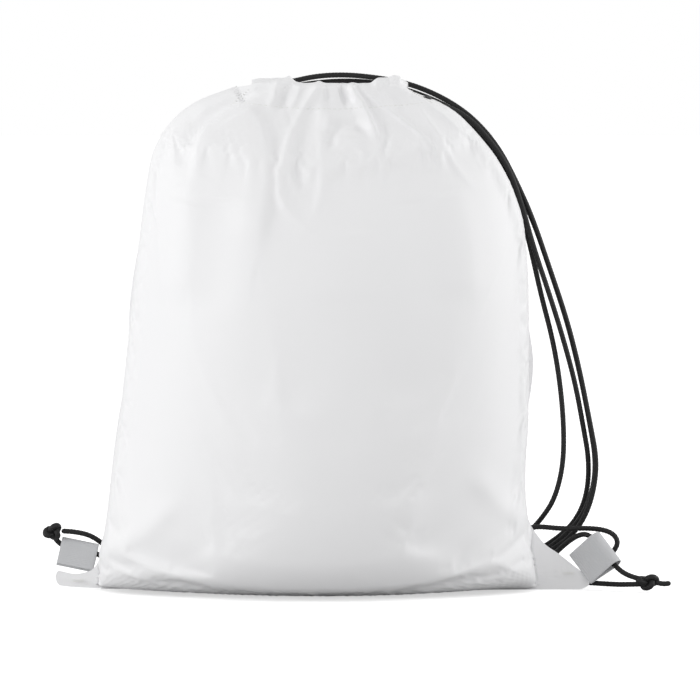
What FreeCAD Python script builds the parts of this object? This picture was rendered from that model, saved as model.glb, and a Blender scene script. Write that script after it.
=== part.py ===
"""Drawstring backpack: two sewn fabric panels, gathered at the mouth on two drawcords.

The bag stands on its flattened bottom, lightly filled, with its mouth drawn up to a short neck.
X runs across the bag, Y from front (-Y) to back (+Y), Z up, in millimetres.
The origin is the middle of the bottom, on the seam between the front and the back panel.

Each drawcord is a closed strap: it starts at a knot in one bottom corner, runs up to the mouth,
through the front casing, round the far end, back through the back casing, and down to the same
knot. One of its two strands is threaded through the webbing loop sewn into that corner.
"""

import FreeCAD, Part

import math
import os

V = FreeCAD.Vector

# ---------------------------------------------------------------- driving dimensions
BAG_WIDTH = 280.0            # across the filled body at its widest
BAG_DEPTH = 172.0            # front to back of the filled body
HEM_HEIGHT = 318.0           # floor to the stitched line under the casings
FABRIC = 1.2                 # wall of the panels (thicker than real cloth, so that it is a solid)

CASING_HEIGHT = 25.0         # the turned-over hem that holds the cords
CASING_LEFT = -0.13 * BAG_WIDTH    # left end of the gathered casings
CASING_RIGHT = 0.20 * BAG_WIDTH    # right end of the gathered casings
CASING_FRONT = 19.5          # outer face of a casing, from the middle of the mouth
MOUTH_GAP = 8.0              # between the two casings, with the mouth drawn up
CASING_WALL = 1.0
CASING_ROUND = 4.0           # outer corners of the casing's section
CASING_GAP = 0.7             # casing to shoulder cloth, so that the front casing can fold forward
HINGE_GAP = 0.3              # hem line to the casing above it

CORD = 3.5                   # diameter of the braided drawcord

WEBBING_WIDTH = 25.0
WEBBING_THICKNESS = 1.0
LOOP_LENGTH = 26.0           # seam to the fold of a corner loop
LOOP_BORE = 10.0             # inside of the fold, which the cord runs through
LOOP_ROOT_GAP = 0.5          # seam edge to the sewn end of the loop

EAR_PLY = 1.0                # one ply of the flat corner ears
SEAM_WIDTH = 6.0             # seam allowance inside the bag
SEAM_THICKNESS = 1.6
SLIT_LENGTH = 34.0           # open end of the side seam, beside each end of the casings

STITCH_LENGTH = 2.6
STITCH_PITCH = 3.6
STITCH_THREAD = 0.5
STITCH_UP = 1.6              # hem stitches above the hem line
TACK_WIDTH = 7.0             # bar tacks across the ears, beside each webbing loop
LEFT_TACK_INWARD = 2.5       # from the root of the left loop to its tack
LEFT_TACK_DOWN = 9.2
RIGHT_TACK_INWARD = -7.2
RIGHT_TACK_DOWN = 2.9
CASING_TACK = 9.0            # bar tacks that close the hem at both ends of a casing
LABEL_WIDTH = 12.0
LABEL_HEIGHT = 22.0
LABEL_THICKNESS = 0.4
LABEL_LEFT = 10.0            # left edge of the label, from the middle of the bag
LABEL_DOWN = 4.0             # top of the casing to the top of the label

KNOT_LENGTH = 16.0           # the left knot, pulled tight
KNOT_WIDTH = 12.5
LOOSE_KNOT_LENGTH = 19.0     # the right knot, which lies on the floor
LOOSE_KNOT_WIDTH = 11.5
KNOT_TAIL = 9.0              # cord end past the right knot

# The routes, ears and loops further down are drawn on a bag of this width, depth and hem height,
# with a cord of this diameter.
DRAWN = V(280.0, 172.0, 318.0)
DRAWN_CORD = 3.5


def on_bag(x, y, z):
    """A point that keeps its place on the bag when the bag's own size is changed."""
    return V(x * BAG_WIDTH / DRAWN.x, y * BAG_DEPTH / DRAWN.y, z * HEM_HEIGHT / DRAWN.z)


# ---------------------------------------------------------------- the body's shape
# One row for each level: height as a share of the shoulder's height, left and right half width as
# shares of half the width, and half depth as a share of half the depth.
SHOULDER = HEM_HEIGHT + CASING_HEIGHT - 2.0
LEVELS = [
    (0.000, 1.072, 1.000, 0.52),
    (0.035, 1.070, 1.010, 0.70),
    (0.132, 1.046, 0.968, 0.89),
    (0.323, 0.993, 0.966, 1.00),
    (0.528, 0.936, 0.982, 0.98),
    (0.704, 0.875, 0.936, 0.86),
    (0.806, 0.829, 0.858, 0.69),
    (0.874, 0.786, 0.750, 0.50),
    (0.915, 0.722, 0.680, 0.345),
    (0.950, 0.622, 0.580, 0.262),
    (0.977, 0.480, 0.455, 0.238),
    (1.000, 0.330, 0.340, 0.225),
]


def levels(wall):
    """The body's levels in millimetres, each taken in by the wall along the surface's normal."""
    rows = [
        (z * SHOULDER, left * BAG_WIDTH / 2, right * BAG_WIDTH / 2, deep * BAG_DEPTH / 2)
        for z, left, right, deep in LEVELS
    ]
    taken_in = []
    for i, row in enumerate(rows):
        below, above = rows[max(i - 1, 0)], rows[min(i + 1, len(rows) - 1)]
        rise = above[0] - below[0]
        sizes = [
            row[k] - wall * math.hypot(1.0, (above[k] - below[k]) / rise) for k in (1, 2, 3)
        ]
        height = row[0] + (wall if i == 0 else 0.0)
        taken_in.append((height, *sizes))
    return taken_in


def half_section(level, side, past):
    """Half an ellipse on one side of the seam plane, closed by straight lines past that plane."""
    z, left, right, deep = level
    middle, reach = (right - left) / 2, (right + left) / 2
    curve = Part.BSplineCurve()
    turns = [math.pi * i / 12 for i in range(13)]
    curve.interpolate(
        Points=[
            V(middle - reach * math.cos(t), side * deep * math.sin(t), z) for t in turns
        ],
        Parameters=turns,
    )
    ends = [V(-left, 0, z), V(-left, -side * past, z), V(right, -side * past, z), V(right, 0, z)]
    if past == 0:
        straight = [Part.makeLine(ends[3], ends[0])]
    else:
        straight = [Part.makeLine(ends[3], ends[2]), Part.makeLine(ends[2], ends[1]),
                    Part.makeLine(ends[1], ends[0])]
    return Part.Wire([curve.toShape()] + straight)


def half_body(wall, side, past=0.0):
    """One half of the filled body as a solid, taken in by wall; side is -1 in front, +1 behind."""
    sections = [half_section(level, side, past) for level in levels(wall)]
    return Part.makeLoft(sections, True, False)


def box(x, y, z):
    """A box from three (low, high) pairs."""
    low, high = V(x[0], y[0], z[0]), V(x[1], y[1], z[1])
    size = high - low
    return Part.makeBox(size.x, size.y, size.z, low)


# ---------------------------------------------------------------- the corner ears
# Each ear is the flat corner outside the filled body. The outline runs from the body's side seam
# down and outwards to the tip, and back along the floor. X is measured from the side of the body
# at the floor, outwards, and the last points lie inside the body, where the cavity trims them.
LEFT_EAR = [(-6, 52), (-3.6, 40), (-2.4, 28), (-0.6, 18), (3.4, 11.4), (12, 9.4), (21, 10.6),
            (28.0, 13.2), (30, 9), (28.5, 4.6), (23, 3.4), (8, 1.6), (-14, 0.2)]
RIGHT_EAR = [(-6, 56), (-3.6, 48), (1.0, 39.5), (8.5, 30.5), (17, 23.8), (24, 17.6), (31, 11.2),
             (37.5, 7.0), (38, 4.2), (33, 1.4), (24, 0.4), (4, 0.1), (-14, 0.1)]


def ear(points, side, ply):
    """A flat ear: its outline swept through one ply of cloth in front of or behind the seam."""
    foot = levels(0.0)[0][1 if side < 0 else 2]
    corners = [V(side * (foot + x), 0, z) for x, z in points]
    rim = Part.BSplineCurve()
    rim.interpolate(Points=corners)
    outline = Part.Wire([rim.toShape(), Part.makeLine(corners[-1], corners[0])])
    return Part.Face(outline).extrude(V(0, ply, 0))


# ---------------------------------------------------------------- panels, seams and casings
def casing_room(gap):
    """The space above the hem line that the casings stand in, between the shoulders."""
    return box(
        (CASING_LEFT - gap, CASING_RIGHT + gap),
        (-BAG_DEPTH, BAG_DEPTH),
        (HEM_HEIGHT, SHOULDER + CASING_HEIGHT),
    )


def slits():
    """The open ends of the side seams, where the cords come out beside the casings."""
    height = (HEM_HEIGHT, SHOULDER + CASING_HEIGHT)
    depth = (-BAG_DEPTH, BAG_DEPTH)
    return [
        box((CASING_LEFT - SLIT_LENGTH, CASING_LEFT), depth, height),
        box((CASING_RIGHT, CASING_RIGHT + SLIT_LENGTH), depth, height),
    ]


def panel(side):
    """The front (-1) or back (+1) panel: a shell with its flat ears, open at the mouth."""
    whole = half_body(0.0, side)
    for outline, end in ((LEFT_EAR, -1), (RIGHT_EAR, 1)):
        whole = whole.fuse(ear(outline, end, side * EAR_PLY))
    whole = whole.cut(half_body(FABRIC, side, past=4 * FABRIC))
    whole = whole.cut(casing_room(CASING_GAP))
    for slit in slits():
        whole = whole.cut(slit)
    return whole


def cavity(wall):
    """The inside of the bag, both halves together."""
    return half_body(wall, -1).fuse(half_body(wall, 1)).removeSplitter()


def seam_allowances():
    """The sewn edges inside the bag: a flat strip down each side and one along the bottom."""
    thick = (-SEAM_THICKNESS / 2, SEAM_THICKNESS / 2)
    top = (FABRIC + SEAM_WIDTH, HEM_HEIGHT - SEAM_WIDTH)
    inside, further_in = cavity(FABRIC), cavity(FABRIC + SEAM_WIDTH)
    left = inside.common(box((-BAG_WIDTH, 0), thick, top)).cut(further_in)
    right = inside.common(box((0, BAG_WIDTH), thick, top)).cut(further_in)
    bottom = inside.common(box((-BAG_WIDTH, BAG_WIDTH), thick, (0, FABRIC + SEAM_WIDTH)))
    return left, right, bottom


def casing(side):
    """One casing: a rounded sleeve along the mouth, open at both ends for the cords."""
    outer, inner = CASING_FRONT, MOUTH_GAP / 2
    low, high = HEM_HEIGHT + HINGE_GAP, HEM_HEIGHT + CASING_HEIGHT
    length = CASING_RIGHT - CASING_LEFT

    def sleeve(take_in, overrun):
        y = sorted((side * (outer - take_in), side * (inner + take_in)))
        solid = box(
            (CASING_LEFT - overrun, CASING_LEFT + length + overrun),
            y,
            (low + take_in, high - take_in),
        )
        long_edges = [
            e
            for e in solid.Edges
            if abs(abs(e.tangentAt(e.FirstParameter).x) - 1) < 1e-6
            and e.BoundBox.ZMin > (low + high) / 2
        ]
        return solid.makeFillet(CASING_ROUND - take_in, long_edges)

    return sleeve(0.0, 0.0).cut(sleeve(CASING_WALL, 1.0))


# ---------------------------------------------------------------- corner loops of webbing
class Loop:
    """Where a webbing loop is sewn in: its root, the way it points, and the line of its fold."""

    def __init__(self, root, points, across):
        self.across = V(*across).normalize()
        lengthwise = V(*points)
        lengthwise = lengthwise - self.across * lengthwise.dot(self.across)
        self.lengthwise = lengthwise.normalize()
        self.normal = self.lengthwise.cross(self.across)
        self.root = on_bag(*root)

    def at(self, across, normal, lengthwise):
        """A point given in the loop's own directions, from the middle of its root."""
        return (
            self.root
            + self.across * across
            + self.normal * normal
            + self.lengthwise * lengthwise
        )

    def middle_of_fold(self):
        return LOOP_LENGTH - LOOP_BORE / 2 - WEBBING_THICKNESS

    def teardrop(self, foot, half_foot, radius):
        """A face: two straight legs from the root, tangent to the round fold."""
        high = self.middle_of_fold()
        away = math.hypot(high - foot, half_foot)
        lean = math.atan2(half_foot, high - foot)
        turn = math.asin(min(1.0, radius / away)) - lean
        side, rise = radius * math.cos(turn), high - radius * math.sin(turn)
        start = -WEBBING_WIDTH / 2
        left = self.at(start, -side, rise)
        right = self.at(start, side, rise)
        top = self.at(start, 0, high + radius)
        edges = [
            Part.makeLine(self.at(start, -half_foot, foot), left),
            Part.Arc(left, top, right).toShape(),
            Part.makeLine(right, self.at(start, half_foot, foot)),
        ]
        if half_foot > 0:
            edges.append(
                Part.makeLine(self.at(start, half_foot, foot), self.at(start, -half_foot, foot))
            )
        return Part.Face(Part.Wire(edges))

    def solid(self):
        along = self.across * WEBBING_WIDTH
        outside = self.teardrop(
            LOOP_ROOT_GAP, WEBBING_THICKNESS, LOOP_BORE / 2 + WEBBING_THICKNESS
        )
        inside = self.teardrop(LOOP_ROOT_GAP + 2 * WEBBING_THICKNESS, 0.0, LOOP_BORE / 2)
        return outside.extrude(along).cut(inside.extrude(along))


LEFT_LOOP = Loop(root=(-166.5, 0, 15.2), points=(0.13, 0.84, 0.53), across=(0.979, 0, -0.203))
RIGHT_LOOP = Loop(root=(171.2, 0, 13.9), points=(0.788, 0, 0.616), across=(0.567, -0.39, -0.725))

# ---------------------------------------------------------------- the drawcords
# Points of each cord's route, in order. A cord's own line rounds them off.
LEFT_STRAND_OVER = [          # from the knot, behind the bag, up its right side and over the mouth
    (-176, 14.6, 38.3), (-162, 15.5, 37.8), (-149, 22, 30), (-139, 37, 16), (-120, 48, 6),
    (-92, 54, 1.85), (-50, 55.2, 1.85), (-10, 54.8, 1.85), (28, 55, 1.85), (66, 54.6, 1.85),
    (104, 49.5, 3.8), (138, 39, 14.5), (157, 32, 25), (169, 28.5, 35.5), (177, 26, 49),
    (182, 25, 66), (183.6, 23.8, 86), (178.5, 22, 112), (171.5, 19.5, 147), (162.8, 17, 181),
    (150.5, 14, 217), (139.5, 10.8, 249), (129.5, 9.7, 271.5), (117, 9.6, 296), (101, 10.8, 314.5),
    (86, 13.0, 325.5), (70, 17.5, 333.5), (54, 22.8, 338.9), (35, 23.8, 342.2), (15, 24.8, 344.1),
    (-5, 25, 343.2),
    (-24, 25.2, 338.8), (-46, 23.5, 335.5), (-61, 9, 333.5), (-56, -9.5, 329.8),
]
LEFT_IN_CASINGS = [           # through the front casing, round its right end, back through the other
    (-34, -12.4, 329.4), (14, -12.9, 329.4), (45, -12.5, 329.4), (70, -12.3, 329.2),
    (70.4, 12.3, 329.2), (46, 12.5, 329.4), (12, 12.9, 329.4), (-18, 12.5, 329.4),
]
LEFT_STRAND_BACK = [          # behind the mouth again, down the right side and to the corner loop
    (-42, 12.5, 329.2), (-65.6, 12.8, 327.6), (-65, 36.2, 326), (-42, 37, 330.5), (-16, 33, 337.2),
    (14, 29.6, 340.2), (42, 28.2, 337.8), (66, 24.4, 330.6), (86, 20, 321.5), (102, 18, 309.5),
    (118, 18.2, 291.5), (130, 18.4, 268), (140.5, 19, 246), (151.5, 20.8, 214), (163.5, 23, 178),
    (172, 25, 144), (179, 27.5, 109), (183.3, 29.5, 83.5), (181, 31, 62), (173.5, 33.2, 44.5),
    (160, 37.5, 29.5), (138, 45, 13.5), (102, 55.5, 2.8), (65, 60, 1.85), (26, 60.3, 1.85),
    (-14, 60, 1.85), (-54, 60.4, 1.85), (-95, 59.2, 1.85), (-124, 51.5, 3.0), (-140, 37, 8.0),
    (-144.5, 24, 15.6), (-150.5, 17.4, 22.4), (-163.5, 16.8, 25.4), (-178.5, 16.0, 28.6),
    (-181.5, 14.8, 36.0),
]
RIGHT_STRAND_LOOP = [         # from the knot, through the corner loop, a slack fold, and up the side
    (212.5, -8.0, 8.6), (203.5, -7.4, 10.4), (194.4, -4.9, 17.1), (181, 4.3, 34.4),
    (174.5, 8.6, 37.8), (165.5, 15.5, 32.5), (154, 27, 20), (141, 41, 5.5), (118, 70, 1.85),
    (86, 99, 1.85), (50, 100.4, 1.85), (16, 100.2, 1.85), (-18, 100.4, 1.85), (-18, 66.4, 1.85),
    (16, 66.6, 1.85), (62, 66.2, 1.85), (100, 63, 3.0), (136, 51, 15.5), (158.5, 44.5, 30),
    (171, 39.5, 43.5), (177.8, 36, 61.5), (178.6, 30.4, 84.5), (174.5, 24, 107), (168.8, 18.5, 137),
    (160.5, 14, 167.5), (150.9, 11, 198), (140.6, 8.2, 228), (132.5, 6, 257), (124, 5.0, 281.5),
    (111, 5.0, 301), (96, 5, 317), (80, 1.0, 324.9), (66, -6.5, 324.0),
]
RIGHT_IN_CASINGS = [         # through the front casing, round its left end, back through the other
    (54, -12.2, 323.8), (34, -12.6, 323.7), (4, -12.4, 323.4), (-24, -12.6, 323.6),
    (-49.5, -12.2, 323.4), (-49.8, 12.2, 323.4), (-24, 12.6, 323.5), (8, 12.3, 323.7),
    (34, 12.7, 323.6), (53, 12.4, 323.8),
]
RIGHT_STRAND_FREE = [         # down the side, a slack fold, and past the loop to the knot
    (74, 13.2, 324.6), (92, 13.0, 315.3), (109, 13.4, 300), (122.5, 14, 280), (131.5, 14.6, 256),
    (138.6, 15, 228), (145.5, 15.6, 197), (153.5, 16.4, 167), (158.6, 17, 137), (161.2, 18, 107),
    (160.8, 19.5, 82), (155.5, 22.5, 59.5), (147, 27.5, 45.5), (137, 38, 33), (116, 58, 18),
    (90, 71, 3.8), (60, 71.6, 1.85), (24, 71.2, 1.85), (0, 71.3, 1.85), (0, 95, 1.85),
    (24, 95.2, 1.85), (48, 94.5, 1.85), (80, 92, 3.2), (108, 72, 15), (127, 43, 33),
    (141, 22, 41), (160, 15.4, 39.6), (180, 14.6, 40.4), (193, 12, 38.2), (198, 10.6, 31.5),
    (194, 11, 24), (185, 14, 15), (176.5, 15.5, 8.6), (170.5, 13.6, 5.6), (169.6, 8.2, 5.0),
    (174.5, 5.0, 4.8), (185, 4.0, 4.2), (198, 0.5, 3.9), (207, -3.4, 4.6), (212.5, -4.8, 4.9),
]
ARC_SHARE = 0.45              # of the shorter run beside a point, that its arc takes up
LEFT_KNOT_MIDDLE = (-182, 14.2, 38.2)
LEFT_KNOT_ALONG = (0.8, 0, 0.6)
RIGHT_KNOT_MIDDLE = (217, -6.5, 6.6)
RIGHT_KNOT_ALONG = (0.98, 0, 0.02)


def drawcord(route):
    """A round tube on straight runs joined by tangent arcs, with the arcs' radii printed."""
    points = [on_bag(*p) + V(0, 0, (CORD - DRAWN_CORD) / 2) for p in route]
    edges, radii = [], []
    here = points[0]
    for before, corner, after in zip(points, points[1:], points[2:]):
        back, on = (before - corner), (after - corner)
        cut = ARC_SHARE * min(back.Length, on.Length)
        start = corner + back.normalize() * cut
        end = corner + on.normalize() * cut
        turn = math.pi - back.getAngle(on)
        radius = cut / math.tan(turn / 2)
        inward = (back + on).normalize()
        to_centre = radius / math.cos(turn / 2)
        middle = corner + inward * (to_centre - radius)
        edges += [Part.makeLine(here, start), Part.Arc(start, middle, end).toShape()]
        radii.append(radius)
        here = end
    edges.append(Part.makeLine(here, points[-1]))
    path = Part.Wire(edges)
    ring = Part.Wire(Part.Circle(points[0], points[1] - points[0], CORD / 2).toShape())
    tube = path.makePipeShell([ring], True, False)
    share = tube.Volume / (math.pi * CORD**2 / 4 * path.Length)
    print(
        f"cord {path.Length:.0f} mm, {len(points)} points, volume over section times length "
        f"{share:.4f}, radii from {min(radii):.1f}:",
        " ".join(f"{r:.0f}" for r in radii),
    )
    return tube


def left_drawcord():
    return drawcord(LEFT_STRAND_OVER + LEFT_IN_CASINGS + LEFT_STRAND_BACK)


def right_drawcord():
    return drawcord(RIGHT_STRAND_LOOP + RIGHT_IN_CASINGS + RIGHT_STRAND_FREE)


def lump(middle, along, length, width):
    """A knot as a plain barrel: a round body that narrows at both ends."""
    reach, wide, tip = length / 2, width / 2, width / 4
    profile = Part.Wire([
        Part.makeLine(V(0, 0, -reach), V(tip, 0, -reach)),
        Part.Arc(V(tip, 0, -reach), V(wide, 0, 0), V(tip, 0, reach)).toShape(),
        Part.makeLine(V(tip, 0, reach), V(0, 0, reach)),
        Part.makeLine(V(0, 0, reach), V(0, 0, -reach)),
    ])
    solid = Part.Face(profile).revolve(V(0, 0, 0), V(0, 0, 1), 360)
    turn = FreeCAD.Rotation(V(0, 0, 1), V(*along))
    solid.Placement = FreeCAD.Placement(on_bag(*middle), turn)
    return solid


def left_knot():
    """The knot that both ends of the left drawcord are tied in, standing up beside its loop."""
    return lump(LEFT_KNOT_MIDDLE, LEFT_KNOT_ALONG, KNOT_LENGTH, KNOT_WIDTH)


def right_knot():
    """The right drawcord's knot, lying on the floor with the cut ends past it."""
    knot = lump(RIGHT_KNOT_MIDDLE, RIGHT_KNOT_ALONG, LOOSE_KNOT_LENGTH, LOOSE_KNOT_WIDTH)
    along = V(*RIGHT_KNOT_ALONG).normalize()
    foot = on_bag(*RIGHT_KNOT_MIDDLE) + along * (LOOSE_KNOT_LENGTH / 2 - CORD / 2)
    return knot.fuse(Part.makeCylinder(CORD / 2, KNOT_TAIL, foot, along))


# ---------------------------------------------------------------- thread and label
def hem_stitches(side):
    """The row of stitches that closes a casing, on its outer face just above the hem line."""
    face = side * CASING_FRONT
    y = sorted((face, face + side * STITCH_THREAD))
    low = HEM_HEIGHT + HINGE_GAP + STITCH_UP
    count = int((CASING_RIGHT - CASING_LEFT - STITCH_LENGTH) / STITCH_PITCH)
    start = (CASING_LEFT + CASING_RIGHT - (count - 1) * STITCH_PITCH - STITCH_LENGTH) / 2
    return Part.makeCompound([
        box(
            (start + i * STITCH_PITCH, start + i * STITCH_PITCH + STITCH_LENGTH),
            y,
            (low, low + STITCH_THREAD),
        )
        for i in range(count)
    ])


def end_tacks(side):
    """A bar tack across the seam at each end of a casing, on its outer face."""
    face = side * CASING_FRONT
    y = sorted((face, face + side * STITCH_THREAD))
    middle = HEM_HEIGHT + CASING_HEIGHT / 2
    inset = 2 * STITCH_LENGTH
    return Part.makeCompound([
        box(
            (x - STITCH_THREAD, x + STITCH_THREAD),
            y,
            (middle - CASING_TACK / 2, middle + CASING_TACK / 2),
        )
        for x in (CASING_LEFT + inset, CASING_RIGHT - inset)
    ])


def ear_tack(loop, inward, down):
    """A bar tack on the front of an ear, beside the root of the webbing loop sewn in there."""
    x, low = loop.root.x + inward, loop.root.z - down
    rows = [
        box(
            (x - TACK_WIDTH / 2, x + TACK_WIDTH / 2),
            (-EAR_PLY - STITCH_THREAD, -EAR_PLY),
            (low + row * STITCH_THREAD, low + (row + 1) * STITCH_THREAD),
        )
        for row in (0, 2)
    ]
    return Part.makeCompound(rows)


def care_label():
    """A blank woven label, caught under the back casing's inner face, hanging in the mouth."""
    y = MOUTH_GAP / 2
    high = HEM_HEIGHT + CASING_HEIGHT - LABEL_DOWN
    return box(
        (LABEL_LEFT, LABEL_LEFT + LABEL_WIDTH),
        (y - LABEL_THICKNESS, y),
        (high - LABEL_HEIGHT, high),
    )


def main():
    left_seam, right_seam, bottom_seam = seam_allowances()
    nodes = {
        "front_panel": panel(-1),
        "back_panel": panel(1),
        "front_casing": casing(-1),
        "back_casing": casing(1),
        "left_side_seam": left_seam,
        "right_side_seam": right_seam,
        "bottom_seam": bottom_seam,
        "front_hem_stitches": hem_stitches(-1),
        "back_hem_stitches": hem_stitches(1),
        "front_casing_tacks": end_tacks(-1),
        "back_casing_tacks": end_tacks(1),
        "left_webbing_loop": LEFT_LOOP.solid(),
        "right_webbing_loop": RIGHT_LOOP.solid(),
        "left_loop_tack": ear_tack(LEFT_LOOP, LEFT_TACK_INWARD, LEFT_TACK_DOWN),
        "right_loop_tack": ear_tack(RIGHT_LOOP, RIGHT_TACK_INWARD, RIGHT_TACK_DOWN),
        "care_label": care_label(),
        "left_drawcord": left_drawcord(),
        "right_drawcord": right_drawcord(),
        "left_knot": left_knot(),
        "right_knot": right_knot(),
    }
    os.makedirs("parts", exist_ok=True)
    for name, shape in nodes.items():
        solids = shape.Solids
        print(
            name, "valid" if shape.isValid() else "NOT VALID", len(solids), "solids",
            round(shape.Volume, 1), "mm3", [round(v, 1) for v in (
                shape.BoundBox.XMin, shape.BoundBox.XMax, shape.BoundBox.YMin,
                shape.BoundBox.YMax, shape.BoundBox.ZMin, shape.BoundBox.ZMax)],
        )
        shape.exportStep(f"parts/{name}.step")


main()
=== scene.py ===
# %% [markdown]
# # A drawstring backpack, standing lightly filled
# The bag is two sheets of coated polyester sewn together, with the mouth gathered on two black
# drawcords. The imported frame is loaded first, with its bodies and its hard pieces. The cords'
# routes and the loops' sizes are the same as in the part's source, apart from four points of the
# left cord that are moved by less than a millimetre. Everything ends up in metres.

import math

import bmesh
import bpy
import numpy as np
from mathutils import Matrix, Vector


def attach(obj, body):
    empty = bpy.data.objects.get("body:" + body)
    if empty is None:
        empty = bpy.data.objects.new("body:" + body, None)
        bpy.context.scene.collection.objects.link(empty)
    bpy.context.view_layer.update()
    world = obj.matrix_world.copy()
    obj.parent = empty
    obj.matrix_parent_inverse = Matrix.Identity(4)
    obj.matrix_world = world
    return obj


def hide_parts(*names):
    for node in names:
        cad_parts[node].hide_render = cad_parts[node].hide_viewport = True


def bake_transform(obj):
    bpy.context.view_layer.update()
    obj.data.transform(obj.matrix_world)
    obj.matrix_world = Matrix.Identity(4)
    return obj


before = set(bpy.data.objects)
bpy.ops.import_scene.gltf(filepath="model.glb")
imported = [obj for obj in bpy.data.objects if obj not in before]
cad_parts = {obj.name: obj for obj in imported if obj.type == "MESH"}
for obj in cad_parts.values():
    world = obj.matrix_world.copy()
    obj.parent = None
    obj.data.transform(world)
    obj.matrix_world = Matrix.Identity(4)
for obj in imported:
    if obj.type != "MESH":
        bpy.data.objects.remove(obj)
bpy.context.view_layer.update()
MM = 0.001

# %% [markdown]
# ## Light, floor and camera
# The bag stands on a white sweep in a bright tent of light: a large soft light on each side and
# a pale world all round. Both sides are brighter than the middle, as the side lights graze the
# swelling front. The camera is a long lens, a little above the floor.

# %% Camera
VIEW_WIDTH = 466.7 * MM
VIEW_CENTRE = Vector((17.7, 0, 161.5)) * MM
LENS = 300.0
SENSOR = 36.0
CAMERA_TILT = math.radians(5.0)

camera_data = bpy.data.cameras.new("long_lens")
camera_data.lens = LENS
camera_data.sensor_width = SENSOR
camera = bpy.data.objects.new("camera", camera_data)
bpy.context.collection.objects.link(camera)
distance = VIEW_WIDTH * LENS / SENSOR
camera.location = VIEW_CENTRE + distance * Vector((0, -math.cos(CAMERA_TILT), math.sin(CAMERA_TILT)))
camera.rotation_euler = (math.pi / 2 - CAMERA_TILT, 0, 0)
bpy.context.scene.camera = camera
bpy.context.scene.view_settings.view_transform = "Standard"
print("camera is", round(distance, 2), "m away")


# %% Helpers for materials
def linear(hex_colour):
    """An sRGB hex colour as linear red, green, blue and alpha."""
    parts = [int(hex_colour[i:i + 2], 16) / 255 for i in (1, 3, 5)]
    return [p / 12.92 if p <= 0.04045 else ((p + 0.055) / 1.055) ** 2.4 for p in parts] + [1.0]


def new_material(name):
    """An empty node material and its shader."""
    material = bpy.data.materials.new(name)
    material.use_nodes = True
    return material, material.node_tree.nodes["Principled BSDF"]


def add(material, kind, inputs=None, **settings):
    """Adds a node, sets its properties, and sets or links its inputs."""
    node = material.node_tree.nodes.new(kind)
    for name, value in settings.items():
        setattr(node, name, value)
    for name, value in (inputs or {}).items():
        if isinstance(value, bpy.types.NodeSocket):
            material.node_tree.links.new(value, node.inputs[name])
        else:
            node.inputs[name].default_value = value
    return node


def link(material, output, shader, name):
    """Joins a node's output to one of the shader's inputs."""
    material.node_tree.links.new(output, shader.inputs[name])


# %% Floor and lights
TENT_SIDES = 1.01            # strength of the world at the horizon
TENT_TOP = 0.58              # and straight overhead
LEFT_POWER = 11.5            # watts
RIGHT_POWER = 10.8
SOFTBOX = (1.1, 1.3)         # metres wide and high
AIM = (0, 0, 0.17)           # the middle of the bag
FLOOR_SIZE = 12.0
FLOOR_DROP = 0.0004          # keeps the floor just clear of the bag's base
FLOOR_GLOW = 0.56            # added to the floor where the camera sees it
FLOOR_SEEN = 0.95            # the floor's whiteness to the camera
FLOOR_TO_BAG = 0.62          # and to the bag


def area_light(name, place, aim, size, power):
    """A rectangular soft light at a place, turned to face its aim."""
    data = bpy.data.lights.new(name, "AREA")
    data.shape = "RECTANGLE"
    data.size, data.size_y = size
    data.energy = power
    light = bpy.data.objects.new(name, data)
    light.location = place
    light.rotation_euler = (Vector(aim) - Vector(place)).to_track_quat("-Z", "Y").to_euler()
    bpy.context.collection.objects.link(light)


bpy.ops.mesh.primitive_plane_add(size=FLOOR_SIZE, location=(0, 0, -FLOOR_DROP))
floor = bpy.context.object
floor.name = "floor"
paper, paper_shader = new_material("white_paper_sweep")
paper_shader.inputs["Base Color"].default_value = linear("#ffffff")
paper_shader.inputs["Roughness"].default_value = 0.9
paper_shader.inputs["Specular IOR Level"].default_value = 0.0
# Only the camera sees the paper's glow, which keeps it white round the bag. The bag itself is lit
# by a greyer floor without any glow.
path = add(paper, "ShaderNodeLightPath")
to_camera = path.outputs["Is Camera Ray"]
glow = add(paper, "ShaderNodeMapRange", {"Value": to_camera, "To Min": 0.0, "To Max": FLOOR_GLOW})
link(paper, glow.outputs["Result"], paper_shader, "Emission Strength")
paper_shader.inputs["Emission Color"].default_value = (1, 1, 1, 1)
tone = add(
    paper, "ShaderNodeMapRange", {"Value": to_camera, "To Min": FLOOR_TO_BAG, "To Max": FLOOR_SEEN}
)
link(paper, tone.outputs["Result"], paper_shader, "Base Color")
floor.data.materials.append(paper)

# The tent is brightest at its sides and dimmer overhead.
world = bpy.data.worlds.new("studio")
world.use_nodes = True
tent = world.node_tree
background = tent.nodes["Background"]
coordinates = tent.nodes.new("ShaderNodeTexCoord")
split = tent.nodes.new("ShaderNodeSeparateXYZ")
height = tent.nodes.new("ShaderNodeMapRange")
height.inputs["From Min"].default_value = 0.0
height.inputs["From Max"].default_value = 1.0
height.inputs["To Min"].default_value = TENT_SIDES
height.inputs["To Max"].default_value = TENT_TOP
seen = tent.nodes.new("ShaderNodeLightPath")
mix = tent.nodes.new("ShaderNodeMapRange")
mix.inputs["To Max"].default_value = 1.0
tent.links.new(coordinates.outputs["Generated"], split.inputs["Vector"])
tent.links.new(split.outputs["Z"], height.inputs["Value"])
tent.links.new(height.outputs["Result"], mix.inputs["To Min"])
tent.links.new(seen.outputs["Is Camera Ray"], mix.inputs["Value"])
tent.links.new(mix.outputs["Result"], background.inputs["Strength"])
background.inputs["Color"].default_value = (1, 1, 1, 1)
bpy.context.scene.world = world

area_light("left_softbox", (-1.55, -0.75, 0.5), AIM, SOFTBOX, LEFT_POWER)
area_light("right_softbox", (1.7, 0.05, 0.5), AIM, SOFTBOX, RIGHT_POWER)

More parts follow.
